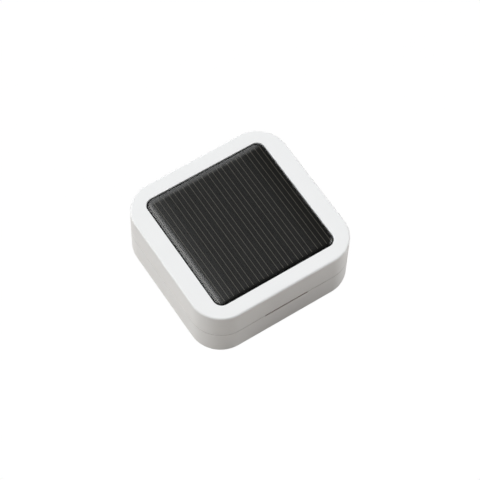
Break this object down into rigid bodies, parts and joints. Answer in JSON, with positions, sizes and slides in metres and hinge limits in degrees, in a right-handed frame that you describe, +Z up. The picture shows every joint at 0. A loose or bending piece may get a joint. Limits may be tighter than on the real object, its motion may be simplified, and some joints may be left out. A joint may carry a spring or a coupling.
{
  "type": "pocket weather station",
  "caption": "Palm-size solar weather instrument: white rounded-square case with a hinged lid, dark solar window on top, finger slot in front, display and keys inside, tripod socket beneath.",
  "frame": {"origin": "centre of the tripod socket's mouth, on the plane of the foot pad's underside, which is the plane the case rests on", "axes": "+Z up through the lid when closed, +X to the right seen from the front, +Y from the finger slot towards the hinge"},
  "size_m": [0.072, 0.0733, 0.0284],
  "materials": {
    "case_white": "fine matt texture",
    "inner_grey": "fine matt texture",
    "clear_cover": "polished clear plastic over dark cells",
    "cell_silicon": "dark silicon",
    "silver_print": "printed silver",
    "cell_board_black": "black solder mask",
    "seal_black": "closed-cell foam",
    "seal_grey": "silicone",
    "foot_rubber": "silicone",
    "frame_black": "moulded",
    "brass": "turned",
    "steel": "plated",
    "magnet_nickel": "nickel plated",
    "lens_black": "polished, black behind",
    "display_panel": "reflective liquid crystal",
    "board_green": "green solder mask",
    "chip_black": "moulded",
    "shield_tin": "tin plated",
    "ceramic_white": "ceramic",
    "membrane_white": "porous film",
    "battery_foil": "laminate pouch",
    "tape_white": "foam tape",
    "wire_red": "insulated wire",
    "socket_ivory": "moulded",
    "key_amber": "satin",
    "key_grey": "satin",
    "plunger_ivory": "moulded",
    "contact_gold": "gold plated",
    "pipe_clear": "clear",
    "led_lens": "clear resin"
  },
  "bodies": {
    "base": {"base_shell": "case_white", "foot_pad": "foot_rubber", "tripod_insert": "brass", "hinge_pin": "steel", "deck": "inner_grey", "deck_screws": "steel", "deck_magnets": "magnet_nickel", "display_lens": "lens_black", "display_module": "display_panel", "light_pipe": "pipe_clear", "status_led": "led_lens", "main_board": "board_green", "board_screws": "steel", "controller_chip": "chip_black", "memory_chip": "chip_black", "radio_module": "shield_tin", "chip_antenna": "ceramic_white", "pressure_sensor": "shield_tin", "humidity_sensor": "chip_black", "sensor_gasket": "seal_grey", "vent_membrane": "membrane_white", "battery": "battery_foil", "battery_tape": "tape_white", "battery_leads": "wire_red", "battery_socket": "socket_ivory", "switch_bodies": "chip_black", "pin_block": "frame_black", "charge_pins": "contact_gold"},
    "lid": {"lid_shell": "case_white", "panel_resin": "clear_cover", "panel_tape": "seal_black", "cell_strips": "cell_silicon", "cell_fingers": "silver_print", "cell_board": "cell_board_black", "charger_parts": "chip_black", "liner": "inner_grey", "liner_screws": "steel", "lid_magnets": "magnet_nickel", "lid_seal": "seal_grey", "pad_block": "frame_black", "charge_pads": "contact_gold", "lid_leads": "wire_red"},
    "power_button": {"power_key": "key_amber", "power_plunger": "plunger_ivory"},
    "mode_button": {"mode_key": "key_grey", "mode_plunger": "plunger_ivory"},
    "log_button": {"log_key": "key_grey", "log_plunger": "plunger_ivory"}
  },
  "joints": [
    {"name": "lid_hinge", "type": "hinge", "parent": "base", "child": "lid", "pos_m": [0, 0.0352, 0.014], "axis": [-1, 0, 0], "range_deg": [0, 110]},
    {"name": "power_press", "type": "slide", "parent": "base", "child": "power_button", "axis": [0, 0, -1], "range_m": [0, 0.0004], "stiffness_N_per_m": 1500, "springref_m": -0.0003},
    {"name": "mode_press", "type": "slide", "parent": "base", "child": "mode_button", "axis": [0, 0, -1], "range_m": [0, 0.0004], "stiffness_N_per_m": 1500, "springref_m": -0.0003},
    {"name": "log_press", "type": "slide", "parent": "base", "child": "log_button", "axis": [0, 0, -1], "range_m": [0, 0.0004], "stiffness_N_per_m": 1500, "springref_m": -0.0003}
  ]
}
